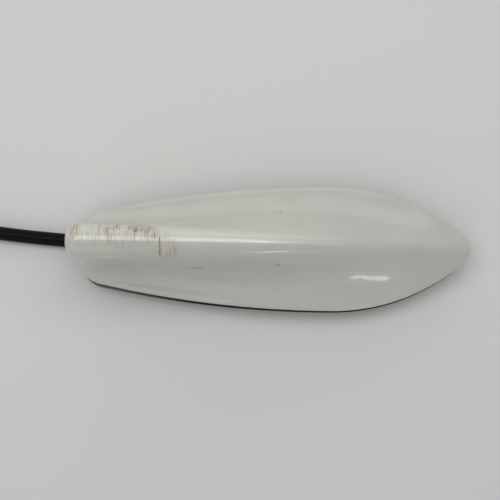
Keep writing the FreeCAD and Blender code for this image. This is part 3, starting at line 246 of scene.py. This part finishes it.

# %% [markdown]
# ## Pearl paint
# The cover is moulded plastic under pearl white paint and clear lacquer. Pearl is neither plain white nor
# metal: a soft, slightly metallic base gives the broad glow along the fin, and a clear coat gives the sharp
# gloss on top. Spray paint is never flat, so a very shallow, slow noise bends the reflections (orange peel).
# The side of the fin's top that faces the light is painted a little paler than the rest: painted light on
# that side, fading towards the nose.

# %% Pearl base and lacquer
PEARL = rgb(0.60, 0.60, 0.55)
PEARL_SHADE = rgb(0.56, 0.555, 0.51)
FLAKE_MM, CLOUD_MM, PEEL_MM = 0.22, 14.0, 1.6
FLAKE_SHARE = 0.4
# Painted light: a paler pearl on the lamp side of the fin's top, and where it lies
PAINTED_LIGHT_PEARL = rgb(0.69, 0.685, 0.625)
PAINTED_LIGHT_ABOVE_MM = (19.0, 28.0)
PAINTED_LIGHT_BESIDE_MM = (-1.0, 2.0)
PAINTED_LIGHT_BEHIND_MM = (55.0, -5.0)

paint, paint_shader, paint_place = new_finish("pearl_paint", IOR=1.5, Coat_Roughness=0.08, Coat_IOR=1.5,
                                              Metallic=0.15)
px, py, pz = axes_of(paint_place)
flake = grain(paint_place, FLAKE_MM, detail=1.0)
cloud = grain(paint_place, CLOUD_MM, detail=3.0)
peel = grain(paint_place, PEEL_MM, detail=1.0)
mottle = cloud * (1.0 - FLAKE_SHARE) + flake * FLAKE_SHARE
pearl = mottle.rise(*NOISE_SPAN).between(PEARL_SHADE, PEARL)
# painted light: paler towards the fin's top, on its lamp side, fading towards the nose
painted_light = (pz.rise(*PAINTED_LIGHT_ABOVE_MM) * py.rise(*PAINTED_LIGHT_BESIDE_MM)
             * px.rise(*PAINTED_LIGHT_BEHIND_MM))
pearl = painted_light.between(pearl, PAINTED_LIGHT_PEARL)
print("pearl base", PEARL[:3], "and", PAINTED_LIGHT_PEARL[:3], "where it is paler")

# %% [markdown]
# The top of the fin is worn towards the tail: short brownish scratches run across it, in a few clusters.
# Each cluster is a soft oval patch given by its middle, its half sizes and its strength, and inside it a
# noise that is stretched across the fin breaks up into single scratches.

# %% Scratches across the fin's top
SCUFFS_MM = (
    ((-69.6, 3.8, 50), (2.6, 4.2, 40), 1.2),
    ((-56.5, 4.0, 50), (7.5, 5.0, 40), 0.75),
    ((-53.8, 5.6, 50), (3.6, 2.6, 40), 1.3),
    ((-45.0, 5.4, 50), (5.2, 3.0, 40), 1.3),
    ((-39.6, 3.0, 50), (4.4, 4.2, 40), 1.1),
    ((-36.0, -2.4, 50), (0.8, 5.6, 40), 1.6),
    ((-31.4, -2.8, 50), (3.2, 6.0, 40), 0.6),
    ((-50.0, 1.4, 50), (24.0, 4.4, 40), 0.6),
)
FIN_TOP_MM = (38.0, 46.0)
OVAL_EDGE = (1.1, 0.5)
SCRATCH_MM, SCRATCH_STRETCH, SCRATCH_SPAN = 1.0, (1.6, 0.09, 0.09), (0.42, 0.60)
RUBBED_MM, RUBBED_SPAN = 2.6, (0.35, 0.65)
RUBBED_SHARE, RUBBED_HAZE = 0.4, 0.3


def patch(middle, half, strength):
    """Its strength inside an oval on the paint, 0 outside it."""
    place = paint_place.node("ShaderNodeVectorMath", {"operation": "SUBTRACT"}, {0: paint_place, 1: middle})
    place = place.node("ShaderNodeVectorMath", {"operation": "DIVIDE"}, {0: place, 1: half})
    distance = place.node("ShaderNodeVectorMath", {"operation": "LENGTH"}, {0: place}, "Value")
    return distance.rise(*OVAL_EDGE) * strength


def patches(table):
    total = patch(*table[0])
    for row in table[1:]:
        total = total.most(patch(*row))
    return total


scratch = grain(paint_place, SCRATCH_MM, detail=3.0, roughness=0.65, stretch=SCRATCH_STRETCH)
scratch = scratch.rise(*SCRATCH_SPAN)
rubbed = grain(paint_place, RUBBED_MM, detail=3.0, roughness=0.6).rise(*RUBBED_SPAN)
scraped = scratch * (1.0 - RUBBED_SHARE + rubbed * RUBBED_SHARE)
worn = patches(SCUFFS_MM) * pz.rise(*FIN_TOP_MM) * scraped.most(rubbed * RUBBED_HAZE)
print("scratched patches:", len(SCUFFS_MM))

# %% [markdown]
# The blunt end of the fin has been rubbed rather than scratched: the lacquer there is chalky and grainy. A
# few dark streaks are painted on the sides, in oval patches of the same kind, broken up by a noise that is
# stretched along the fin.

# %% Chalky tail and dark streaks
TAIL_END_MM = (-70.5, -73.5)
CHALK_MM = 0.7
# dark streaks painted on the fin's sides: middle, half sizes and strength of each oval
DARK_STREAKS_MM = (
    ((13.4, 15.5, 20.0), (1.0, 0.6, 2.0), 0.8),
    ((11.9, -8.3, 33.2), (1.6, 2.0, 2.2), 1.1),
    ((-58.4, -8.4, 30.0), (7.0, 2.0, 2.6), 0.7),
    ((-23.0, -9.3, 26.5), (4.0, 2.0, 1.6), 1.0),
)
STREAK_MM, STREAK_STRETCH, STREAK_SPAN = 0.5, (0.16, 1.0, 1.0), (0.44, 0.62)

chalk_grain = grain(paint_place, CHALK_MM, roughness=0.6).rise(*NOISE_SPAN)
chalky = px.rise(*TAIL_END_MM) * pz.rise(*FIN_TOP_MM) * chalk_grain
streaks = grain(paint_place, STREAK_MM, detail=3.0, roughness=0.65, stretch=STREAK_STRETCH)
dark_streaks = patches(DARK_STREAKS_MM) * streaks.rise(*STREAK_SPAN)
print("patches of dirt:", len(DARK_STREAKS_MM))

# %% [markdown]
# Everything then goes into the same sockets: colour, roughness and the weight of the lacquer, because
# scratched paint loses its lacquer and turns dull as well as dark. Scratches and chalk are also cut a little
# into the surface.

# %% The finished paint
BROWN = rgb(0.29, 0.235, 0.16)
CHALK = rgb(0.70, 0.68, 0.63)
DARK_STREAK_COLOUR = rgb(0.16, 0.145, 0.125)
BROWN_SHARE, CHALK_SHARE = 0.9, 0.7
PAINT_ROUGHNESS, DULL_ROUGHNESS, LACQUER_LOST = 0.38, 0.3, 0.7
PEEL_HEIGHT, CHALK_HEIGHT = 0.2, 0.5

dull = worn.most(chalky).most(dark_streaks)
colour = (chalky * CHALK_SHARE).between(pearl, CHALK)
colour = (worn * BROWN_SHARE).between(colour, BROWN)
# the painted dark streaks darken the colour here
colour = dark_streaks.between(colour, DARK_STREAK_COLOUR)
feed(paint_shader, Base_Color=colour, Roughness=PAINT_ROUGHNESS + dull * DULL_ROUGHNESS,
     Coat_Weight=1.0 - dull * LACQUER_LOST)
dent(paint_shader, peel * PEEL_HEIGHT - worn - chalky * CHALK_HEIGHT, depth_mm=0.02, strength=0.35)
wear(paint, "cover")

# %% [markdown]
# ## Rubber
# The gasket under the cover, the sealing ring and the cable's bush are moulded rubber: nearly black, dull,
# with a fine grain from the mould and a little pale dust that stays in the grain.

# %% Moulded rubber
RUBBER = rgb(0.012, 0.012, 0.013)
RUBBER_ROUGHNESS, RUBBER_GRAIN_MM, RUBBER_DEPTH_MM = 0.62, 0.6, 0.05
SLOW_MM = 9.0
DUST_SPAN = (0.2, 0.5)
ROUGHNESS_SPREAD = 0.15


def moulded_black(name, colour, dust, roughness, grain_mm, depth_mm, ior=1.42):
    material, shader, place = new_finish(name, IOR=ior)
    fine = grain(place, grain_mm, detail=3.0, roughness=0.6)
    slow = grain(place, SLOW_MM)
    feed(shader, Base_Color=(fine * slow).rise(*DUST_SPAN).between(colour, dust),
         Roughness=roughness + slow * ROUGHNESS_SPREAD)
    dent(shader, fine, depth_mm, strength=0.5)
    return material


rubber = moulded_black("black_rubber", RUBBER, rgb(0.035, 0.034, 0.032), RUBBER_ROUGHNESS, RUBBER_GRAIN_MM,
                       RUBBER_DEPTH_MM)
wear(rubber, "inner_seal", "cable_grommet")

# %% [markdown]
# The gasket is the same rubber, but its lip sticks out under the cover's edge, and it is painted lighter
# grey towards both ends.

# %% Gasket, lighter grey at both ends
LIP_END_GREY = rgb(0.17, 0.168, 0.16)
GREY_TAIL_MM = (-15.0, -65.0)
GREY_NOSE_MM = (55.0, 80.0)
GREY_GRAIN_SHARE, DUST_ROUGHNESS = 0.4, 0.2

lip, lip_shader, lip_place = new_finish("rubber_grey_ends", IOR=1.42)
lip_x = axes_of(lip_place)[0]
lip_grain = grain(lip_place, RUBBER_GRAIN_MM, detail=3.0, roughness=0.6)
grey_ends = lip_x.rise(*GREY_TAIL_MM).most(lip_x.rise(*GREY_NOSE_MM))
# the lip is painted lighter grey towards both ends
dust = grey_ends * (1.0 - GREY_GRAIN_SHARE + lip_grain * GREY_GRAIN_SHARE)
feed(lip_shader, Base_Color=dust.between(RUBBER, LIP_END_GREY),
     Roughness=RUBBER_ROUGHNESS + lip_grain * DUST_ROUGHNESS)
dent(lip_shader, lip_grain, RUBBER_DEPTH_MM, strength=0.5)
wear(lip, "roof_gasket")

# %% [markdown]
# The cable's jacket is extruded, so it is smoother and glossier than the gasket, and clean. The connector's
# body is moulded nylon, spark-eroded to a fine matt grain.

# %% Jacket and connector body
jacket = moulded_black("cable_jacket", rgb(0.002, 0.002, 0.003), rgb(0.004, 0.004, 0.005),
                       roughness=0.26, grain_mm=0.5, depth_mm=0.01, ior=1.2)
cable.data.materials.append(jacket)
wear(jacket, "cable", "inner_leads")
nylon = moulded_black("plug_plastic", rgb(0.022, 0.022, 0.024), rgb(0.045, 0.045, 0.046),
                      roughness=0.5, grain_mm=0.35, depth_mm=0.03)
wear(nylon, "connector_housing")

# %% [markdown]
# ## Metals
# The plate is die-cast: bright but dull, with cloudy flow marks. The insert and the screws are plated steel,
# the folded sheets are tinned, and the connector's contacts are brass. One recipe serves all of them: a
# metallic base, cloudy tint, and roughness that follows a grain, which is stretched where the metal was
# rolled or turned.

# %% One recipe for metals
TINT_SPREAD, GRAIN_SPREAD = 0.16, 0.1


def metal(name, dark, light, roughness, cloud_mm, grain_mm, depth_mm, stretch=None):
    material, shader, place = new_finish(name, Metallic=1.0)
    tint = grain(place, cloud_mm, detail=4.0, roughness=0.6)
    fine = grain(place, grain_mm, stretch=stretch)
    feed(shader, Base_Color=tint.rise(*NOISE_SPAN).between(dark, light),
         Roughness=roughness + tint * TINT_SPREAD + fine * GRAIN_SPREAD)
    dent(shader, fine, depth_mm, strength=0.4)
    return material


cast = metal("die_cast", rgb(0.42, 0.42, 0.43), rgb(0.60, 0.60, 0.61),
             roughness=0.34, cloud_mm=9.0, grain_mm=0.5, depth_mm=0.03)
wear(cast, "base_plate")

# %% Plated, tinned and brass pieces
steel = metal("steel", rgb(0.50, 0.50, 0.50), rgb(0.66, 0.65, 0.62),
              roughness=0.20, cloud_mm=3.0, grain_mm=0.3, depth_mm=0.008, stretch=(0.2, 0.2, 3.0))
wear(steel, "thread_insert", "board_screws", "cover_screws")
tinned = metal("tin_plate", rgb(0.58, 0.58, 0.56), rgb(0.72, 0.72, 0.70),
               roughness=0.22, cloud_mm=5.0, grain_mm=0.4, depth_mm=0.006, stretch=(0.15, 1.0, 1.0))
wear(tinned, "jacket_collar", "shield_can", "top_plate", "board_bracket", "connector_ferrule")
brass = metal("contact_brass", rgb(0.62, 0.44, 0.17), rgb(0.80, 0.62, 0.30),
              roughness=0.18, cloud_mm=3.0, grain_mm=0.3, depth_mm=0.006, stretch=(0.3, 0.3, 2.0))
wear(brass, "patch_pin", "connector_shell", "connector_pin")

# %% [markdown]
# ## Ceramic, foam and boards
# These are inside the cover, seen only when it is taken off. The patch is a fired ceramic tile on open foam
# tape, and the connector's contacts sit in a pale plastic ring. One speckled recipe serves all three.


# %% Speckled pieces
def speckled(name, dark, light, roughness, grain_mm, depth_mm):
    material, shader, place = new_finish(name)
    fine = grain(place, grain_mm, detail=3.0, roughness=0.65)
    feed(shader, Base_Color=fine.rise(*NOISE_SPAN).between(dark, light),
         Roughness=roughness + fine * ROUGHNESS_SPREAD)
    dent(shader, fine, depth_mm, strength=0.4)
    return material


ceramic = speckled("patch_ceramic", rgb(0.50, 0.45, 0.37), rgb(0.60, 0.55, 0.47),
                   roughness=0.55, grain_mm=0.5, depth_mm=0.01)
wear(ceramic, "gps_patch")
foam = speckled("foam_tape", rgb(0.38, 0.38, 0.36), rgb(0.60, 0.60, 0.57),
                roughness=0.8, grain_mm=0.4, depth_mm=0.08)
wear(foam, "patch_tape")
white_plastic = speckled("insulator_plastic", rgb(0.68, 0.68, 0.66), rgb(0.76, 0.76, 0.74),
                         roughness=0.42, grain_mm=0.8, depth_mm=0.006)
wear(white_plastic, "connector_insulator")

# %% [markdown]
# The boards are green solder resist over copper tracks. The tracks show as faint raised lines, and the
# joints of a brick pattern are a quick stand-in for them.

# %% Boards with faint tracks
RESIST = rgb(0.02, 0.12, 0.05)
TRACK = rgb(0.05, 0.22, 0.09)
RESIST_ROUGHNESS, RESIST_SPREAD, RESIST_GRAIN_MM = 0.35, 0.2, 0.8

laminate, laminate_shader, laminate_place = new_finish("board_laminate", IOR=1.5)
track = laminate_place.node("ShaderNodeTexBrick", {"offset": 0.5},
                            {"Vector": laminate_place, "Scale": 0.22, "Mortar Size": 0.05,
                             "Mortar Smooth": 0.2}, "Fac")
feed(laminate_shader, Base_Color=track.between(RESIST, TRACK),
     Roughness=RESIST_ROUGHNESS + grain(laminate_place, RESIST_GRAIN_MM) * RESIST_SPREAD)
dent(laminate_shader, track, depth_mm=0.035)
wear(laminate, "circuit_board", "radio_board")

# %% [markdown]
# ## Floor
# The antenna lies on a plain pale table. A single large square is enough, with a faint mottle like paper's
# and no gloss, so that no lamp is mirrored in it from the side.

# %% Floor
FLOOR_HALF = 3.0
PAPER_SHADE = rgb(0.76, 0.76, 0.75)
PAPER = rgb(0.80, 0.80, 0.79)
PAPER_ROUGHNESS = 0.75
FIBRE_MM, FIBRE_SHARE, FIBRE_SPREAD = 3.0, 0.5, 0.1

sheet = bpy.data.meshes.new("studio_floor")
corners = [(sx * FLOOR_HALF, sy * FLOOR_HALF, 0) for sx, sy in ((-1, -1), (1, -1), (1, 1), (-1, 1))]
sheet.from_pydata(corners, [], [(0, 1, 2, 3)])
floor = bpy.data.objects.new("studio_floor", sheet)
scene.collection.objects.link(floor)
paper, paper_shader, paper_place = new_finish("studio_paper", Specular_IOR_Level=0.0)
fibre = grain(paper_place, FIBRE_MM, detail=3.0)
feed(paper_shader, Base_Color=(fibre * FIBRE_SHARE).between(PAPER_SHADE, PAPER),
     Roughness=PAPER_ROUGHNESS + fibre * FIBRE_SPREAD)
floor.data.materials.append(paper)
print("floor", 2 * FLOOR_HALF, "m wide")

# %% [markdown]
# ## Light
# An even grey sky, and most of the light from the far side: a strip close above the antenna, which the fin's
# rounded top mirrors as its long narrow highlight, and a wide dim panel further off, which makes the far
# flank lighter than the near one. A weak fill from the tail keeps the near side open. Two small lamps add
# glints: one where the highlight ends on the fin's crest, and one, low on the near side, in the hollow
# beside the nose. Each lamp faces the origin, and is given by its place, its size, its turn in degrees and
# its power in watts.

# %% Lamps
LAMPS = {
    "strip_lamp": (Vector((-0.025, 0.130, 0.45)), (0.55, 0.17), 0, 0.63),
    "panel_lamp": (Vector((-0.25, 1.10, 0.42)), (2.2, 0.80), 0, 2.7),
    "crest_lamp": (Vector((0.245, 0.15, 0.45)), (0.07, 0.07), 0, 0.03),
    "near_fill_lamp": (Vector((-0.60, -0.75, 0.50)), (1.2, 0.7), 0, 0.95),
    "low_window_lamp": (Vector((0.264, -0.776, 0.131)), (0.26, 0.04), 64, 0.15),
}


def soft_lamp(name, place, size, turn, watts):
    bulb = bpy.data.lights.new(name, "AREA")
    bulb.shape, bulb.size, bulb.size_y, bulb.energy = "RECTANGLE", *size, watts
    lamp = bpy.data.objects.new(name, bulb)
    lamp.matrix_world = (
        Matrix.Translation(place)
        @ place.to_track_quat("Z", "Y").to_matrix().to_4x4()
        @ Matrix.Rotation(math.radians(turn), 4, "Z")
    )
    scene.collection.objects.link(lamp)
    print(name, watts, "W, radiance", round(watts / (math.pi * size[0] * size[1]), 2))


for lamp_name, values in LAMPS.items():
    soft_lamp(lamp_name, *values)

# %% Sky
SKY_COLOUR = rgb(1.0, 1.0, 0.99)
SKY_STRENGTH = 0.44

world = bpy.data.worlds.new("studio_sky")
scene.world = world
world.use_nodes = True
sky = world.node_tree.nodes["Background"]
sky.inputs["Color"].default_value = SKY_COLOUR
sky.inputs["Strength"].default_value = SKY_STRENGTH
scene.view_settings.view_transform = "Standard"
print("sky", SKY_STRENGTH)

# %% [markdown]
# ## Finish
# The view layer is brought up to date at the end.

# %% Finish
bpy.context.view_layer.update()
